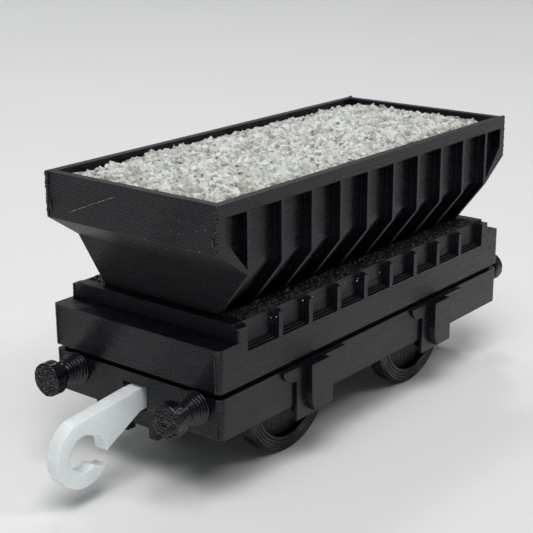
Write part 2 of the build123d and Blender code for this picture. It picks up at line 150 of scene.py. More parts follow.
def add_work(name, work, material):
    """New mesh object from a bmesh, which is freed, wearing one material."""
    mesh = bpy.data.meshes.new(name)
    work.to_mesh(mesh)
    work.free()
    piece = bpy.data.objects.new(name, mesh)
    bpy.context.scene.collection.objects.link(piece)
    piece.data.materials.append(material)
    return piece


def bevel(piece, width, segments=2, angle=30):
    """Round a piece's hard edges, as molten plastic does."""
    rounding = piece.modifiers.new("bevel", "BEVEL")
    rounding.width = width
    rounding.segments = segments
    rounding.limit_method = "ANGLE"
    rounding.angle_limit = math.radians(angle)
    return rounding


def ridged(start, stop, pitch, depth):
    """Points from start to stop with a shallow groove at every pitch, to the right of travel."""
    along = Vector(stop) - Vector(start)
    count = max(1, round(along.length / pitch))
    normal = Vector((-along.y, along.x)).normalized()
    points = []
    for ridge in range(count):
        for share, lift in ((0.0, -1.0), (0.22, 0.0), (0.78, 0.0)):
            place = Vector(start) + along * ((ridge + share) / count)
            points.append(tuple(place + normal * depth * lift))
    points.append(tuple(Vector(stop)))
    return points


def lathe(name, profile, place, material, segments=96, wobble=0.0, seed=0):
    """Turn a profile of (distance along axis, radius) points; place maps (a, x, y) to a point.

    wobble is how far, in metres, the surface wanders from round.
    """
    rng = random.Random(seed)
    offset = Vector((rng.uniform(-50, 50), rng.uniform(-50, 50), rng.uniform(-50, 50)))
    points = []
    for along, radius in profile:
        for step in range(segments):
            angle = math.tau * step / segments
            spot = Vector((along, radius * math.cos(angle), radius * math.sin(angle)))
            stretch = 1.0
            if wobble and radius > 0:
                stretch += wobble * noise.noise(spot / wobble_size + offset) / radius
            points.append(place(along, spot.y * stretch, spot.z * stretch))
    faces = []
    for row in range(len(profile) - 1):
        for step in range(segments):
            after = (step + 1) % segments
            faces.append((row * segments + step, row * segments + after,
                          (row + 1) * segments + after, (row + 1) * segments + step))
    faces.append(tuple(reversed(range(segments))))
    last = (len(profile) - 1) * segments
    faces.append(tuple(range(last, last + segments)))
    piece = add_mesh(name, points, faces, material, smooth=True)
    orient_outward(piece)
    return piece


def orient_outward(piece):
    """Make every face of a closed mesh look outward."""
    work = bmesh.new()
    work.from_mesh(piece.data)
    bmesh.ops.remove_doubles(work, verts=work.verts, dist=0.0005 * MM)
    bmesh.ops.recalc_face_normals(work, faces=work.faces)
    work.to_mesh(piece.data)
    work.free()


def blobs(name, spots, material, rng):
    """Many small melted beads as one mesh. spots holds (centre, radii along x, y and z)."""
    work = bmesh.new()
    unevenness = 0.28
    dents = 1.3
    for centre, radii in spots:
        made = bmesh.ops.create_icosphere(work, subdivisions=2, radius=1.0)
        offset = Vector((rng.uniform(-90, 90), rng.uniform(-90, 90), rng.uniform(-90, 90)))
        for vert in made["verts"]:
            swell = 1.0 + unevenness * noise.noise(vert.co * dents + offset)
            vert.co = Vector(centre) + Vector((vert.co.x * radii[0], vert.co.y * radii[1],
                                               vert.co.z * radii[2])) * swell
    piece = add_work(name, work, material)
    for polygon in piece.data.polygons:
        polygon.use_smooth = True
    return piece


# ---- materials ----------------------------------------------------------------------------
class Nodes:
    """Short way to build a material's node tree."""

    def __init__(self, name):
        self.material = bpy.data.materials.new(name)
        self.material.use_nodes = True
        self.tree = self.material.node_tree
        self.shader = self.tree.nodes["Principled BSDF"]
        self.place = self.add("ShaderNodeTexCoord").outputs["Object"]

    def add(self, kind, **values):
        """Add a node and set its properties."""
        node = self.tree.nodes.new(kind)
        for key, value in values.items():
            setattr(node, key, value)
        return node

    def feed(self, socket, value):
        """Link an output to a socket, or store a plain value in it."""
        if isinstance(value, bpy.types.NodeSocket):
            self.tree.links.new(value, socket)
        else:
            socket.default_value = value

    def noise(self, scale, detail=3.0, rough=0.5, distortion=0.0, vector=None):
        """Noise texture in object space, scale in features per metre."""
        node = self.add("ShaderNodeTexNoise")
        self.feed(node.inputs["Vector"], vector or self.place)
        node.inputs["Scale"].default_value = scale
        node.inputs["Detail"].default_value = detail
        node.inputs["Roughness"].default_value = rough
        node.inputs["Distortion"].default_value = distortion
        return node.outputs["Fac"]

    def cells(self, scale):
        """Cell texture in object space, scale in cells per metre."""
        node = self.add("ShaderNodeTexVoronoi", feature="F1")
        self.feed(node.inputs["Vector"], self.place)
        node.inputs["Scale"].default_value = scale
        return node.outputs

    def stretched(self, stretch):
        """Object-space position, multiplied along x, y and z."""
        node = self.add("ShaderNodeMapping")
        self.feed(node.inputs["Vector"], self.place)
        node.inputs["Scale"].default_value = stretch
        return node.outputs["Vector"]

    def math(self, operation, first, second=0.0, third=0.0):
        """Math node."""
        node = self.add("ShaderNodeMath", operation=operation)
        self.feed(node.inputs[0], first)
        self.feed(node.inputs[1], second)
        self.feed(node.inputs[2], third)
        return node.outputs[0]

    def plus(self, first, second):
        """Sum of two values."""
        return self.math("ADD", first, second)

    def times(self, first, second):
        """Product of two values."""
        return self.math("MULTIPLY", first, second)

    def rest_of(self, share):
        """What a share leaves of one."""
        return self.math("SUBTRACT", 1.0, share)

    def spread(self, value, low, high, out_low=0.0, out_high=1.0):
        """Map a value from one range to another, clamped."""
        node = self.add("ShaderNodeMapRange")
        self.feed(node.inputs["Value"], value)
        node.inputs["From Min"].default_value = low
        node.inputs["From Max"].default_value = high
        node.inputs["To Min"].default_value = out_low
        node.inputs["To Max"].default_value = out_high
        return node.outputs["Result"]

    def ramp(self, value, *stops):
        """Colour ramp with (position, colour) stops."""
        node = self.add("ShaderNodeValToRGB")
        self.feed(node.inputs["Fac"], value)
        elements = node.color_ramp.elements
        while len(elements) < len(stops):
            elements.new(0.5)
        for element, (position, colour) in zip(elements, stops):
            element.position = position
            element.color = (*colour, 1.0)
        return node.outputs["Color"]

    def blend(self, share, first, second):
        """Mix two colours."""
        node = self.add("ShaderNodeMix", data_type="RGBA", blend_type="MIX")
        self.feed(node.inputs[0], share)
        self.feed(node.inputs[6], first)
        self.feed(node.inputs[7], second)
        return node.outputs[2]

    def axis(self, name, vector=None):
        """One coordinate of the object-space position, or of the vector given."""
        node = self.add("ShaderNodeSeparateXYZ")
        self.feed(node.inputs[0], vector or self.place)
        return node.outputs[name]

    def bump(self, height, distance, strength=1.0, normal=None):
        """Bump node; height is 0 to 1 over the given distance."""
        node = self.add("ShaderNodeBump")
        node.inputs["Strength"].default_value = strength
        node.inputs["Distance"].default_value = distance
        self.feed(node.inputs["Height"], height)
        if normal is not None:
            self.feed(node.inputs["Normal"], normal)
        return node.outputs["Normal"]

    def layer_lines(self, coordinate, pitch, wander=0.25):
        """Rounded ridges along one coordinate, the lines between printed layers."""
        drift = self.noise(160.0, 2.0)
        shifted = self.math("MULTIPLY_ADD", drift, pitch * wander * 2, coordinate)
        phase = self.times(shifted, math.pi / pitch)
        return self.math("ABSOLUTE", self.math("SINE", phase))

    def distance_from(self, x, z):
        """Distance in the XZ plane from the points (x, z) and (-x, z), whichever is nearer."""
        across = self.math("SUBTRACT", self.math("ABSOLUTE", self.axis("X")), x)
        up = self.math("SUBTRACT", self.axis("Z"), z)
        square = self.math("MULTIPLY_ADD", across, across, self.times(up, up))
        return self.math("SQRT", square)

    def finish(self, colour, roughness, normal):
        """Wire the main sockets of the shader."""
        self.feed(self.shader.inputs["Base Color"], colour)
        self.feed(self.shader.inputs["Roughness"], roughness)
        self.feed(self.shader.inputs["Normal"], normal)
        return self.material


def wall_lines(n, round_centre):
    """Lines between layers. A wheel, given its centre, has rings on its rim and bars on its web."""
    if not round_centre:
        return n.layer_lines(n.axis("Z"), print_line)
    rings_from = n.distance_from(*round_centre)
    on_rim = n.spread(rings_from, wheel_web_radius - 0.1 * MM, wheel_web_radius)
    rings = n.layer_lines(rings_from, raster_line, 0.7)
    bars = n.layer_lines(n.axis("X"), web_bar, 0.5)
    return n.plus(n.times(rings, on_rim), n.times(bars, n.rest_of(on_rim)))


def print_lines(n, true_normal, round_centre):
    """Wall lines and, half as deep, the raster lines of tops and the lines of the long sides."""
    walls = wall_lines(n, round_centre)
    tops = n.layer_lines(n.plus(n.axis("X"), n.axis("Y")), raster_line)
    is_top = n.spread(n.math("ABSOLUTE", n.axis("Z", true_normal)), 0.9, 0.98)
    if not round_centre:
        sideways = n.math("ABSOLUTE", n.axis("Y", true_normal))
        walls = n.times(walls, n.spread(sideways, 0.3, 0.9, 1.0, 0.5))
    return n.plus(n.times(walls, n.rest_of(is_top)), n.times(tops, n.times(is_top, 0.5)))


def overhang_stairs(n, true_normal):
    """Sawtooth height for overhanging slopes, which are stairs of upright risers."""
    level = n.axis("Z", true_normal)
    overhang = n.spread(level, -0.30, -0.45)
    above_bottoms = n.spread(level, -0.95, -0.85)
    riser = n.rest_of(n.math("FRACT", n.math("DIVIDE", n.axis("Z"), print_line)))
    return n.times(riser, n.times(overhang, above_bottoms))


def black_print(name, seed, relief, round_centre=None, ior=plastic_ior, gloss=plastic_gloss):
    """Black printed plastic: layer lines on walls, raster lines on tops, scuffs and dust, and painted
    shade darkening the grooves between the lines.

    relief is the depth of the lines in millimetres, gloss the lowest and highest roughness.
    """
    n = Nodes(name)
    true_normal = n.add("ShaderNodeNewGeometry").outputs["True Normal"]
    lines = print_lines(n, true_normal, round_centre)
    streaks = n.noise(2300.0, 2.0, 0.6, 0.0, n.stretched((0.02, 0.02, 1.0)))
    ripple = n.noise(420.0 + seed, 4.0, 0.6)
    grain = n.noise(5200.0, 3.0, 0.6)
    scuff = n.spread(n.noise(90.0 + seed, 5.0, 0.65, 0.6), 0.50, 0.72)
    dust = n.cells(300.0)
    rare = n.math("GREATER_THAN", n.axis("X", dust["Color"]), 0.88)
    speck = n.times(rare, n.spread(dust["Distance"], 0.03, 0.07, 1.0, 0.0))
    worn = tuple(part * 2.4 for part in black_tint)
    # A quarter of the tint: the painted shade of the grooves between layer lines.
    groove_shade = tuple(part * 0.25 for part in black_tint)
    colour = n.blend(n.times(scuff, 0.6), (*black_tint, 1.0), (*worn, 1.0))
    # Painted shade: the colour darkens towards the groove colour where the layer lines dip.
    colour = n.blend(n.spread(lines, 0.15, 0.75, 0.85, 0.0), colour, (*groove_shade, 1.0))
    colour = n.blend(n.times(speck, 0.6), colour, dust_grey)
    roughness = n.spread(ripple, 0.3, 0.7, *gloss)
    roughness = n.plus(roughness, n.spread(streaks, 0.35, 0.65, -0.03, 0.06))
    roughness = n.plus(roughness, n.spread(lines, 0.1, 0.5, 0.15, 0.0))
    roughness = n.plus(roughness, n.times(scuff, 0.08))
    normal = n.bump(ripple, 0.06 * MM, 0.5)
    normal = n.bump(grain, 0.015 * MM, 0.5, normal)
    normal = n.bump(streaks, 0.05 * MM, 0.6, normal)
    normal = n.bump(lines, relief * MM, 0.9, normal)
    normal = n.bump(overhang_stairs(n, true_normal), 0.24 * MM, 1.0, normal)
    normal = n.bump(speck, 0.04 * MM, 0.8, normal)
    n.shader.inputs["IOR"].default_value = ior
    return n.finish(colour, roughness, normal)


def support_scar_black():
    """Torn support marks: blacker and duller than the walls."""
    n = Nodes("support_scar_black")
    fine = n.noise(2600.0, 4.0, 0.65, 0.4)
    colour = n.ramp(fine, (0.3, (0.0015, 0.0015, 0.002)), (0.75, (0.006, 0.006, 0.007)))
    roughness = n.spread(fine, 0.25, 0.75, 0.30, 0.60)
    n.shader.inputs["IOR"].default_value = plastic_ior
    return n.finish(colour, roughness, n.bump(fine, 0.06 * MM, 0.6))


def milky_hook():
    """Milky translucent plastic with cloudy depth and faint drag marks."""
    n = Nodes("milky_hook_plastic")
    cloud = n.noise(210.0, 4.0, 0.55, 0.5)
    colour = n.ramp(cloud, (0.25, (0.79, 0.86, 0.885)), (0.55, (0.82, 0.885, 0.905)),
                    (0.85, (0.855, 0.91, 0.92)))
    drag = n.noise(900.0, 5.0, 0.6, 0.8)
    lines = n.layer_lines(n.axis("Y"), print_line)
    roughness = n.spread(drag, 0.3, 0.7, 0.16, 0.34)
    normal = n.bump(cloud, 0.10 * MM, 0.45)
    normal = n.bump(drag, 0.025 * MM, 0.5, normal)
    normal = n.bump(lines, 0.012 * MM, 0.4, normal)
    shader = n.shader
    shader.inputs["Subsurface Weight"].default_value = 0.75
    shader.inputs["Subsurface Radius"].default_value = (0.8, 1.0, 1.1)
    shader.inputs["Subsurface Scale"].default_value = 3.4 * MM
    shader.inputs["Coat Weight"].default_value = 0.35
    shader.inputs["Coat Roughness"].default_value = 0.12
    return n.finish(colour, roughness, normal)


def pale_ballast(low, high):
    """Pale crumbled grain: whitish flakes with painted shade that darkens the pits to a warm grey, near
    black at the bottom. low and high bound its relief.
    """
    n = Nodes("pale_ballast")
    # Painted shade: height within the relief, so that the colour darkens down into the pits between
    # shards.
    depth = n.spread(n.axis("Z"), low, high)
    patch = n.noise(900.0, 5.0, 0.6)
    cell_tone = n.axis("X", n.cells(900.0)["Color"])
    # Mostly painted pit shade by height, partly a random tone for each cell.
    pit_shade_and_tone = n.plus(n.times(depth, 0.62), n.times(cell_tone, 0.38))
    colour = n.ramp(pit_shade_and_tone, (0.14, (0.10, 0.09, 0.07)), (0.36, (0.28, 0.27, 0.235)),
                    (0.56, (0.54, 0.55, 0.52)), (0.86, (0.74, 0.76, 0.73)))
    warm = n.spread(n.noise(310.0, 4.0, 0.6), 0.60, 0.72)
    colour = n.blend(n.times(warm, 0.5), colour, warm_grit)
    roughness = n.spread(patch, 0.3, 0.7, 0.38, 0.62)
    fine = n.noise(4200.0, 4.0, 0.65)
    normal = n.bump(patch, 0.12 * MM, 0.5)
    normal = n.bump(fine, 0.035 * MM, 0.5, normal)
    return n.finish(colour, roughness, normal)


def turned_steel():
    """Turned and drawn steel for pins and screws."""
    n = Nodes("turned_steel")
    drawn = n.noise(4200.0, 3.0, 0.6, 0.0, n.stretched((1.0, 0.08, 1.0)))
    stain = n.noise(380.0, 4.0, 0.6)
    colour = n.ramp(stain, (0.3, (0.38, 0.375, 0.36)), (0.7, (0.58, 0.585, 0.59)))
    roughness = n.spread(drawn, 0.3, 0.7, 0.22, 0.42)
    normal = n.bump(drawn, 0.01 * MM, 0.5)
    n.shader.inputs["Metallic"].default_value = 1.0
    return n.finish(colour, roughness, normal)


def studio_floor():
    """Pale matt studio sweep."""
    n = Nodes("studio_sweep")
    mottle = n.noise(3.0, 4.0, 0.5)
    colour = n.ramp(mottle, (0.3, (0.80, 0.805, 0.80)), (0.7, (0.83, 0.835, 0.83)))
    roughness = n.spread(mottle, 0.3, 0.7, 0.55, 0.65)
    normal = n.bump(n.noise(900.0, 3.0), 0.05 * MM, 0.2)
    return n.finish(colour, roughness, normal)


# ---- torn and crumbled relief -------------------------------------------------------------
shard_narrowing = (0.45, 0.9)
shard_corners = (1.3, 2.0, 4.0)    # superellipse powers, from pointed to nearly square


def flake_field(length, width, cell, count, size, lift, tilt, rng):
    """Height grid of overlapping tilted shards over a length by width patch.

    size is the range of a shard's half length and lift that of its height; tilt spreads its slope.
    """
    columns = int(round(length / cell)) + 1
    rows = int(round(width / cell)) + 1
    xs = np.linspace(-length / 2, length / 2, columns)
    ys = np.linspace(-width / 2, width / 2, rows)
    heights = np.zeros((columns, rows))
    for _ in range(count):
        centre_x = rng.uniform(-length / 2, length / 2)
        centre_y = rng.uniform(-width / 2, width / 2)
        half_long = rng.uniform(*size)
        half_short = half_long * rng.uniform(*shard_narrowing)
        turn = rng.uniform(0, math.pi)
        top = rng.uniform(*lift)
        slope_x = rng.gauss(0, tilt)
        slope_y = rng.gauss(0, tilt)
        power = rng.choice(shard_corners)
        in_x = np.nonzero(np.abs(xs - centre_x) < half_long)[0]
        in_y = np.nonzero(np.abs(ys - centre_y) < half_long)[0]
        if not len(in_x) or not len(in_y):
            continue
        window = np.ix_(in_x, in_y)
        dx = (xs[in_x] - centre_x)[:, None]
        dy = (ys[in_y] - centre_y)[None, :]
        u = (dx * math.cos(turn) + dy * math.sin(turn)) / half_long
        v = (dy * math.cos(turn) - dx * math.sin(turn)) / half_short
        inside = np.abs(u) ** power + np.abs(v) ** power < 1.0
        level = top + dx * slope_x + dy * slope_y
        heights[window] = np.where(inside, np.maximum(heights[window], level), heights[window])
    return xs, ys, heights


def relief_block(name, xs, ys, tops, bottom, material, jitter, rng):
    """Closed block whose top follows a height grid and whose floor is flat at bottom.

    jitter is how far an inner grid point may move sideways.
    """
    columns, rows = tops.shape
    points = []
    for i in range(columns):
        for j in range(rows):
            edge = i in (0, columns - 1) or j in (0, rows - 1)
            shift_x = 0.0 if edge else rng.uniform(-jitter, jitter)
            shift_y = 0.0 if edge else rng.uniform(-jitter, jitter)
            points.append((xs[i] + shift_x, ys[j] + shift_y, tops[i, j]))
    faces = []
    for i in range(columns - 1):
        for j in range(rows - 1):
            corner = i * rows + j
            faces.append((corner, corner + rows, corner + rows + 1, corner + 1))
    ring = [i * rows for i in range(columns)]
    ring += [(columns - 1) * rows + j for j in range(1, rows)]
    ring += [i * rows + rows - 1 for i in range(columns - 2, -1, -1)]
    ring += range(rows - 2, 0, -1)
    base = len(points)
    for index in ring:
        points.append((points[index][0], points[index][1], bottom))
    for step in range(len(ring)):
        after = (step + 1) % len(ring)
        faces.append((ring[after], ring[step], base + step, base + after))
    faces.append(tuple(base + step for step in reversed(range(len(ring)))))
    return add_mesh(name, points, faces, material)


def ballast_tops(xs, ys, flakes, base, length, width, cell):
    """Crowned shards, lower along the walls, with gaps where crumbs have fallen out."""
    crown_height = 0.85 * MM
    crown_power = 0.8
    side_rise = 3.2
    end_rise = 7.0
    flake_share = 0.85
    gap_rows = 9
    gap_size = 4.2 * MM
    gap_seed = 3.7
    gap_skew = 40
    gap_start = 0.22
    gap_floor = 0.1
    gap_reach = 3.2 * MM
    gap_drop = 0.55 * MM
    across = np.clip(1 - np.abs(ys[None, :]) / (width / 2), 0, 1)
    along = np.clip(1 - np.abs(xs[:, None]) / (length / 2), 0, 1)
    crown = crown_height * np.clip(across * side_rise, 0, 1) ** crown_power
    crown = crown * np.clip(along * end_rise, 0, 1) ** crown_power
    tops = base + crown + flakes * flake_share
    last = len(ys) - 1
    for i, x in enumerate(xs):
        for row in (*range(gap_rows), *range(len(ys) - gap_rows, len(ys))):
            from_wall = min(row, last - row) * cell
            gap = noise.noise(Vector((x / gap_size, ys[row] * gap_skew, gap_seed)))
            if gap > gap_start and from_wall < (gap - gap_floor) * gap_reach:
                tops[i, row] = base - gap_drop
    return tops


def make_shards(xs, ys, tops, highest, material, rng):
    """Loose shards that lie on the load's relief, their centres no higher than highest."""
    shard_count = 900
    end_margin = 8
    side_margin = 6
    lift = 0.02 * MM
    shards = bmesh.new()
    for _ in range(shard_count):
        i = rng.randrange(end_margin, len(xs) - end_margin)
        j = rng.randrange(side_margin, len(ys) - side_margin)
        made = bmesh.ops.create_icosphere(shards, subdivisions=1, radius=1.0)
        size = rng.uniform(0.28, 0.62) * MM
        turn = Matrix.Rotation(rng.uniform(0, math.tau), 4, "Z")
        lean_angle = rng.gauss(0, 0.45)
        lean_axis = Vector((rng.uniform(-1, 1), rng.uniform(-1, 1), 0.1))
        lean = Matrix.Rotation(lean_angle, 4, lean_axis)
        stretch = Vector((size, size * rng.uniform(0.45, 0.9), size * rng.uniform(0.16, 0.36)))
        spot = Vector((xs[i], ys[j], min(tops[i, j] + lift, highest)))
        for vert in made["verts"]:
            rough = Vector([c * s * rng.uniform(0.7, 1.25) for c, s in zip(vert.co, stretch)])
            vert.co = spot + (turn @ lean @ rough)
    return add_work("ballast_shards", shards, material)


def make_ballast():
    """Crumbly load that stands for the plain insert, with loose shards on top."""
    rng = random.Random(11)
    low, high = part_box("ballast_load")
    length = high.x - low.x
    width = high.y - low.y
    cell = 0.20 * MM
    flake_count = 8200
    base = high.z - 2.35 * MM
    highest = high.z + 0.35 * MM
    xs, ys, flakes = flake_field(length, width, cell, flake_count, (0.42 * MM, 1.05 * MM),
                                 (0.0 * MM, 1.30 * MM), 0.48, rng)
    tops = np.minimum(ballast_tops(xs, ys, flakes, base, length, width, cell), highest)
    material = pale_ballast(base - 0.1 * MM, high.z)
    load = relief_block("ballast_crumbs", xs, ys, tops, low.z, material, cell * 0.28, rng)
    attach(load, "load")
    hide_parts("ballast_load")
    loose = make_shards(xs, ys, tops, high.z + 0.25 * MM, material, rng)
    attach(loose, "load")


def make_support_scars(material):
    """Torn support crumbs along the deck top, under the hopper's sloping sides."""
    rng = random.Random(23)
    low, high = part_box("deck_plinth")
    deck_edge = 1.45 * MM
    end_gap = 2.3 * MM
    flake_count = 2600
    flake_share = 0.9
    fade_width = 0.35 * MM
    sunk = 0.02 * MM
    thickness = 0.3 * MM
    length = high.x - low.x - 2 * end_gap
    width = high.y - deck_edge - hopper_foot
    for side_name, side in sides:
        xs, ys, flakes = flake_field(length, width, 0.2 * MM, flake_count, (0.2 * MM, 0.55 * MM),
                                     (0.02 * MM, 0.28 * MM), 0.35, rng)
        fade = np.clip((width / 2 - np.abs(ys)) / fade_width, 0, 1)[None, :]
        tops = high.z - sunk + flakes * fade * flake_share
        centre = side * (hopper_foot + width / 2)
        piece = relief_block(f"support_scar_{side_name}", xs, ys + centre, tops,
                             high.z - thickness, material, 0.05 * MM, rng)
        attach(piece, "frame")


# ---- wheels -------------------------------------------------------------------------------
def make_wheel(end_name, side_name, side, material):
    """Printed disc wheel: grooved rim, dished web, hubs and a layered tread."""
    node = f"wheel_{end_name}_{side_name}"
    low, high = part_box(node)
    radius = (high.z - low.z) / 2
    centre = (low + high) / 2
    hub_start = min(abs(low.y), abs(high.y))
    hub_end = max(abs(low.y), abs(high.y))
    dish = wheel_face - wheel_dish_depth
    inner_rim = radius - wheel_rim_width
    round_off = 0.35 * MM
    chamfer = 0.15 * MM
    fillet = 0.1 * MM
    web_groove = 0.05 * MM
    tread_groove = 0.03 * MM
    rim_groove = 0.17 * MM
    tread_pitch = layer_height * 1.4
    tread_start = wheel_inner + round_off
    tread_stop = wheel_face - round_off
    profile = [(hub_start, 0.0), (hub_start, wheel_inner_hub - 2 * fillet)]
    profile += [(hub_start + 2 * fillet, wheel_inner_hub), (wheel_inner, wheel_inner_hub)]
    profile += ridged((wheel_inner, wheel_inner_hub + 2 * fillet), (wheel_inner, radius - round_off),
                      0.6 * MM, web_groove)
    profile += [(tread_start, radius)]
    profile += ridged((tread_start, radius), (tread_stop, radius), tread_pitch, tread_groove)
    profile += [(wheel_face, radius - round_off)]
    profile += ridged((wheel_face, radius - round_off), (wheel_face, inner_rim + chamfer),
                      raster_line, rim_groove)
    profile += [(wheel_face - chamfer, inner_rim)]
    profile += ridged((wheel_face - 2 * chamfer, inner_rim), (dish + fillet, inner_rim),
                      tread_pitch, tread_groove)
    profile += [(dish, inner_rim - fillet), (dish, wheel_outer_hub + fillet)]
    profile += [(dish + fillet, wheel_outer_hub), (hub_end - chamfer, wheel_outer_hub)]
    profile += [(hub_end, wheel_outer_hub - chamfer), (hub_end, 0.0)]

    def place(along, across, up):
        return Vector((centre.x + across, side * along, centre.z + up))

    wheel = lathe(f"printed_{node}", profile, place, material, 128, 0.02 * MM, name_seed(node))
    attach(wheel, f"{end_name}_wheelset")
    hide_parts(node)


# ---- buffers ------------------------------------------------------------------------------
def buffer_ring(start, radius, bulge):
    """Profile of one bulging printed ring and the groove after it."""
    skirt = radius - 0.02 * MM
    flank = radius + bulge * 0.8
    return [(start, radius - 0.24 * MM), (start + 0.07 * MM, skirt), (start + 0.13 * MM, flank),
            (start + 0.2 * MM, radius + bulge), (start + 0.27 * MM, flank), (start + 0.33 * MM, skirt),
            (start + 0.40 * MM, radius - 0.3 * MM), (start + 0.5 * MM, radius - 0.36 * MM)]


def crumple_face(piece, end, face):
    """Press branching worm tracks into a buffer's outer face, which is at face along X."""
    face_depth = 0.06 * MM
    coarse_size = 0.46 * MM
    fine_size = 0.24 * MM
    track_width = 0.26
    track_depth = 0.34 * MM
    for vert in piece.data.vertices:
        if abs(abs(vert.co.x) - face) < face_depth:
            fine = 0.5 * noise.noise(vert.co / fine_size)
            worm = abs(noise.noise(vert.co / coarse_size) + fine)
            vert.co.x -= end * track_depth * max(0.0, 1.0 - worm / track_width)


def make_buffer(end_name, end, side_name, material):
    """Buffer with uneven printed rings, a waist and a grainy head."""
    node = f"buffer_{end_name}_{side_name}"
    low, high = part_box(node)
    centre = (low + high) / 2
    head_radius = (high.z - low.z) / 2
    beam = min(abs(low.x), abs(high.x)) + buffer_spigot
    face = max(abs(low.x), abs(high.x))
    spigot_radius = 1.5 * MM
    first_ring = 2.85 * MM
    ring_taper = 0.75 * MM
    waist = 1.75 * MM
    face_ridge = 0.35 * MM
    face_rings = 34
    rng = random.Random(name_seed(node))
    profile = [(beam - buffer_spigot, 0.0), (beam - buffer_spigot, spigot_radius)]
    profile += [(beam, spigot_radius)]
    for ring in range(buffer_rings):
        radius = first_ring - ring_taper * ring / (buffer_rings - 1)
        bulge = rng.uniform(0.06, 0.14) * MM
        profile += buffer_ring(beam + ring * buffer_ring_pitch, radius, bulge)
    neck = beam + buffer_rings * buffer_ring_pitch
    head = neck + buffer_neck
    rim = head_radius - 0.02 * MM
    profile += [(neck, waist)]
    profile += ridged((neck + 0.05 * MM, waist - 0.05 * MM), (head, waist), layer_height * 1.5, 0.03 * MM)
    profile += [(head + 0.04 * MM, head_radius - face_ridge), (head + 0.3 * MM, head_radius - 0.04 * MM)]
    profile += ridged((head + face_ridge, rim), (face - face_ridge, rim), 0.42 * MM, 0.05 * MM)
    profile += [(face - 0.16 * MM, head_radius - 0.12 * MM), (face - 0.05 * MM, head_radius - 0.32 * MM)]
    for step in range(face_rings + 1):
        profile.append((face - 0.03 * MM, (head_radius - 0.4 * MM) * (1 - step / face_rings)))

    def place(along, across, up):
        return Vector((end * along, centre.y + across, centre.z + up))

    piece = lathe(f"printed_{node}", profile, place, material, 112, 0.09 * MM, name_seed(node))
    crumple_face(piece, end, face)
    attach(piece, "frame")
    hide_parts(node)


# ---- hook ---------------------------------------------------------------------------------
def arc(centre, radius, start, stop, steps):
    """Points of an arc in the XZ plane, angles in degrees."""
    points = []
    for step in range(steps + 1):
        angle = math.radians(start + (stop - start) * step / steps)
        points.append((centre[0] + radius * math.cos(angle), centre[1] + radius * math.sin(angle)))
    return points


def hook_outline(beam, frame_z, ring, root, arm_low, top):
    """Side view of the hook: arm, barb, round mouth and tip, as (x, z) points.

    beam is the face of the beam, frame_z the frame's underside and ring the centre of the C.
    """
    shoulder = (beam + 1.4 * MM, top)
    reach = math.hypot(ring[0] - shoulder[0], top - ring[1])
    tangent = math.degrees(math.atan2(top - ring[1], shoulder[0] - ring[0])
                           - math.acos(hook_ring_radius / reach))
    barb_tip = (beam + 8.3 * MM, frame_z - 3.5 * MM)
    barb_top = (beam + 8.7 * MM, frame_z - 1.2 * MM)
    mouth_start = 128
    tip_top = frame_z - 5.6 * MM
    outer_drop = tip_top - 0.4 * MM - ring[1]
    inner_drop = tip_top - 0.3 * MM - ring[1]
    tip_outer = math.degrees(math.atan2(outer_drop, -math.sqrt(hook_ring_radius ** 2 - outer_drop ** 2)))
    tip_inner = math.degrees(math.atan2(inner_drop, barb_tip[0] + 2.2 * MM - ring[0]))
    outline = [(root, arm_low), (beam, arm_low)]
    outline += [barb_tip, (barb_tip[0] + 0.12 * MM, barb_tip[1] + 0.5 * MM)]
    outline += [barb_top, (barb_top[0] + 0.9 * MM, barb_top[1] + 0.95 * MM)]
    outline += arc(ring, hook_mouth_radius, mouth_start, tip_inner, 40)
    outline += [(barb_tip[0] + 1.2 * MM, tip_top - 0.12 * MM), (barb_tip[0] + 0.1 * MM, tip_top)]
    outline += arc(ring, hook_ring_radius, tip_outer, tangent, 64)
    return outline + [shoulder, (root, top)]


def make_hook_eye(root, arm_low, top, material):
    """Ring at the hook's root that turns on the pivot screw."""
    segments = 64
    chamfer = 0.25 * MM
    section = [(arm_low, hook_eye_bore), (arm_low, hook_eye_radius - chamfer),
               (arm_low + chamfer, hook_eye_radius), (top - chamfer, hook_eye_radius),
               (top, hook_eye_radius - chamfer), (top, hook_eye_bore)]
    points = []
    for height, radius in section:
        for step in range(segments):
            angle = math.tau * step / segments
            points.append((root + radius * math.cos(angle), radius * math.sin(angle), height))
    faces = []
    for row in range(len(section)):
        start = row * segments
        below = ((row + 1) % len(section)) * segments
        for step in range(segments):
            after = (step + 1) % segments
            faces.append((start + step, start + after, below + after, below + step))
    eye = add_mesh("milky_hook_eye", points, faces, material)
    orient_outward(eye)
    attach(eye, "hook")


def make_hook(material):
    """C-shaped hook with softly rounded edges and an eye at its root."""
    low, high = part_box("coupling_hook")
    chassis_low, chassis_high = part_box("chassis_frame")
    frame_z = chassis_low.z + lug_drop
    root = low.x + hook_eye_radius
    arm_low = frame_z + 0.75 * MM
    ring = (high.x - hook_ring_radius, low.z + hook_ring_radius)
    outline = hook_outline(chassis_high.x, frame_z, ring, root, arm_low, high.z)
    count = len(outline)
    points = [(x, -hook_half_width, z) for x, z in outline] + [(x, hook_half_width, z) for x, z in outline]
    faces = [tuple(range(count)), tuple(reversed(range(count, 2 * count)))]
    for step in range(count):
        after = (step + 1) % count
        faces.append((step, after, after + count, step + count))
    hook = add_mesh("milky_coupling_hook", points, faces, material, smooth=True)
    orient_outward(hook)
    rounding = bevel(hook, 0.62 * MM, 5, 40)
    rounding.harden_normals = True
    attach(hook, "hook")
    make_hook_eye(root, arm_low, high.z, material)
    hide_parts("coupling_hook")


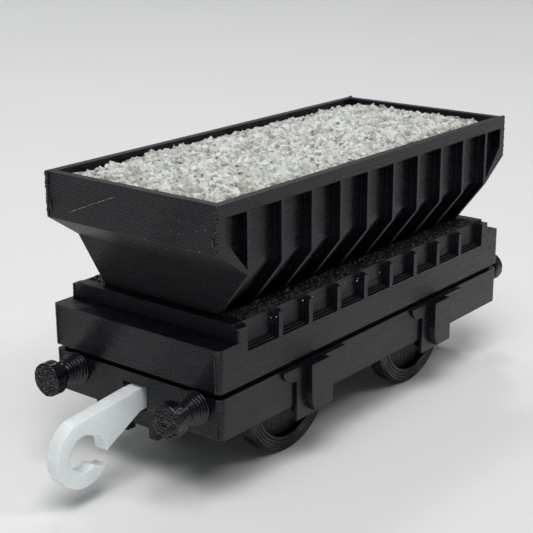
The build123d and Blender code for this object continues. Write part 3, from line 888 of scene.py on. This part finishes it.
# ---- print seams and scuffs ---------------------------------------------------------------
def bead_column(x, y, low, high, sizes, rng):
    """Beads up one corner, one for each printed layer, with a few missing."""
    missing_share = 0.12
    stray = 0.03
    spots = []
    for level in range(int((high - low) / layer_height)):
        if rng.random() < missing_share:
            continue
        size = rng.uniform(*sizes) * MM
        spot = (x, y + rng.uniform(-stray, stray) * MM, low + (level + 0.5) * layer_height)
        spots.append((spot, (size, size * 1.2, size)))
    return spots


def hopper_drips(end, side, x, y, low, high):
    """A drip and a lump on one corner of the hopper's end panel."""
    drip = (0.22 * MM, 0.26 * MM, 1.0 * MM)
    lump = (0.30 * MM, 0.42 * MM, 0.5 * MM)
    return [((end * x, side * (y - 0.7 * MM), low + 2.1 * MM), drip),
            ((end * x, side * (y - 0.2 * MM), high - 1.0 * MM), lump)]


def make_seams(material):
    """Beads that the start of each printed layer leaves up the corners, and the hopper's drips."""
    rng = random.Random(5)
    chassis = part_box("chassis_frame")
    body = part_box("underframe_body")
    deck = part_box("deck_plinth")
    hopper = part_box("hopper_bin")
    body_inset = 0.95 * MM
    # Each corner's x, y, bottom and top in metres, then its bead sizes in millimetres.
    corners = {
        "chassis_frame": (chassis[1].x, chassis[1].y - body_inset, chassis[0].z + lug_drop,
                          body[0].z - seam_height, (0.12, 0.19)),
        "underframe_body": (body[1].x, body[1].y - body_inset, body[0].z, body[1].z, (0.12, 0.19)),
        "deck_plinth": (deck[1].x, deck[1].y - 0.3 * MM, body[1].z, deck[1].z - 0.5 * MM, (0.10, 0.20)),
        "hopper_bin": (hopper[1].x, hopper[1].y - 0.35 * MM, hopper[1].z - end_panel_height,
                       hopper[1].z, (0.14, 0.36))}
    for node, (x, y, low, high, sizes) in corners.items():
        spots = []
        for _, end in ends:
            for _, side in sides:
                spots += bead_column(end * x, side * y, low, high, sizes, rng)
                if node == "hopper_bin":
                    spots += hopper_drips(end, side, x, y, low, high)
        piece = blobs(f"{node}_seam_beads", spots, material, rng)
        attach(piece, "frame")


def scuffed_grey():
    """Plastic whitened where it was scraped or where dust has stuck."""
    n = Nodes("scuffed_grey_plastic")
    grain = n.noise(5200.0, 4.0, 0.6)
    colour = n.ramp(grain, (0.3, (0.10, 0.10, 0.098)), (0.7, (0.55, 0.55, 0.54)))
    roughness = n.spread(grain, 0.3, 0.7, 0.45, 0.70)
    return n.finish(colour, roughness, n.bump(grain, 0.03 * MM, 0.6))


def make_scuffs(material):
    """A dotted scrape and specks on the front panel, and pale crumbs stuck along the sides."""
    rng = random.Random(41)
    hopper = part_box("hopper_bin")[1]
    body_low, body_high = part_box("underframe_body")
    deck_low, deck_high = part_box("deck_plinth")
    start = Vector((hopper.x, -13.6 * MM, hopper.z - 6.3 * MM))
    stop = Vector((hopper.x, -2.8 * MM, hopper.z - 2.0 * MM))
    scrape_dots = 36
    panel_specks = 14
    body_crumbs = 9
    deck_crumbs = 8
    spots = []
    for step in range(scrape_dots):
        size = rng.uniform(0.045, 0.09) * MM
        spots.append((start.lerp(stop, step / (scrape_dots - 1)), (size, size * 1.6, size * 0.8)))
    for _ in range(panel_specks):
        size = rng.uniform(0.04, 0.09) * MM
        spot = Vector((hopper.x, rng.uniform(2, 17) * MM, hopper.z - rng.uniform(2, 11) * MM))
        spots.append((spot, (size, size, size)))
    for _, side in sides:
        for _ in range(body_crumbs):
            size = rng.uniform(0.06, 0.13) * MM
            along = rng.uniform(body_low.x, body_high.x) * 0.95
            up = body_low.z + rng.uniform(0.0, 1.4) * MM
            spots.append((Vector((along, side * (body_high.y - 0.02 * MM), up)), (size, size, size)))
        for _ in range(deck_crumbs):
            size = rng.uniform(0.06, 0.16) * MM
            along = rng.uniform(deck_low.x, deck_high.x) * 0.9
            up = deck_high.z - rng.uniform(0.2, 1.2) * MM
            spots.append((Vector((along, side * deck_high.y, up)), (size, size * 0.7, size)))
    piece = blobs("pale_scuffs", spots, material, rng)
    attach(piece, "frame")


# ---- CAD nodes that keep their shape --------------------------------------------------------
def dress(node, material, width):
    """Give a CAD node its material and soft edges; its loose triangles are welded first."""
    piece = nodes[node]
    piece.data.materials.clear()
    piece.data.materials.append(material)
    weld = piece.modifiers.new("weld", "WELD")
    weld.merge_threshold = 0.002 * MM
    bevel(piece, width)


def dress_nodes(frame_black, body_black, hopper_black, steel):
    """Materials and soft edges for every node that stays."""
    pin_edge = 0.05 * MM
    dress("chassis_frame", frame_black, 0.16 * MM)
    dress("front_cross_bar", frame_black, 0.16 * MM)
    dress("underframe_body", body_black, 0.18 * MM)
    dress("deck_plinth", body_black, 0.10 * MM)
    dress("hopper_bin", hopper_black, 0.14 * MM)
    for end_name, _ in ends:
        dress(f"axle_{end_name}", steel, pin_edge)
        dress(f"body_screw_{end_name}", steel, pin_edge)
        for side_name, _ in sides:
            dress(f"axle_guard_{end_name}_{side_name}", frame_black, 0.14 * MM)
    dress("hook_pivot_screw", steel, pin_edge)
    dress("rear_tow_bar", steel, pin_edge)


# ---- studio -------------------------------------------------------------------------------
def add_light(name, spot, size, power, colour):
    """Square area light at spot, facing the model."""
    data = bpy.data.lights.new(name, "AREA")
    data.shape = "SQUARE"
    data.size = size
    data.energy = power
    data.color = colour
    light = bpy.data.objects.new(name, data)
    light.location = spot
    light.rotation_euler = (-Vector(spot)).to_track_quat("-Z", "Y").to_euler()
    bpy.context.scene.collection.objects.link(light)


def make_floor():
    """Seamless pale sweep, turned to face the camera."""
    half_width = 3.0
    back_x = -1.6
    bend_radius = 0.9
    bend_steps = 16
    front_x = 2.5
    wall_top = 3.0
    profile = [(front_x, 0.0), (back_x, 0.0)]
    for step in range(1, bend_steps + 1):
        angle = math.pi / 2 * step / bend_steps
        profile.append((back_x - bend_radius * math.sin(angle), bend_radius * (1 - math.cos(angle))))
    profile.append((back_x - bend_radius, wall_top))
    points = []
    for side in (-half_width, half_width):
        for along, height in profile:
            points.append((along * math.cos(camera_azimuth) - side * math.sin(camera_azimuth),
                           along * math.sin(camera_azimuth) + side * math.cos(camera_azimuth), height))
    count = len(profile)
    faces = [(i, i + 1, i + 1 + count, i + count) for i in range(count - 1)]
    add_mesh("studio_sweep", points, faces, studio_floor(), smooth=True)


def make_studio():
    """Floor, dim pale surroundings and four soft lamps."""
    make_floor()
    world = bpy.data.worlds.new("studio_world")
    bpy.context.scene.world = world
    world.use_nodes = True
    background = world.node_tree.nodes["Background"]
    background.inputs["Color"].default_value = sky_colour
    background.inputs["Strength"].default_value = sky_strength
    # Each lamp's name, place and width in metres, power in watts and colour.
    add_light("overhead", (0.50, 0.38, 1.5), 1.0, 19.6, (1.0, 0.995, 0.985))
    add_light("right_lamp", (-0.5, 1.0, 1.2), 0.3, 3.8, (1.0, 0.99, 0.97))
    add_light("back_lamp", (-0.8, -0.7, 1.4), 0.25, 3.4, (1.0, 1.0, 1.0))
    add_light("far_fill", (-0.15, -1.25, 0.85), 0.6, 2.6, (0.96, 0.98, 1.0))


make_camera()
make_studio()
bpy.context.scene.view_settings.view_transform = "Standard"
axle_low, axle_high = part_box("axle_front")
axle_centre = (axle_low + axle_high) / 2
frame_black = black_print("frame_black_print", 3.0, wall_relief)
body_black = black_print("body_black_print", 17.0, wall_relief)
hopper_black = black_print("hopper_black_print", 31.0, wall_relief)
wheel_black = black_print("wheel_black_print", 43.0, wheel_relief, (axle_centre.x, axle_centre.z))
buffer_black = black_print("buffer_black_print", 57.0, buffer_relief, None, buffer_ior, buffer_gloss)
steel = turned_steel()
dress_nodes(frame_black, body_black, hopper_black, steel)
make_ballast()
make_support_scars(support_scar_black())
for end_name, end in ends:
    for side_name, side in sides:
        make_wheel(end_name, side_name, side, wheel_black)
        make_buffer(end_name, end, side_name, buffer_black)
make_hook(milky_hook())
make_seams(buffer_black)
make_scuffs(scuffed_grey())
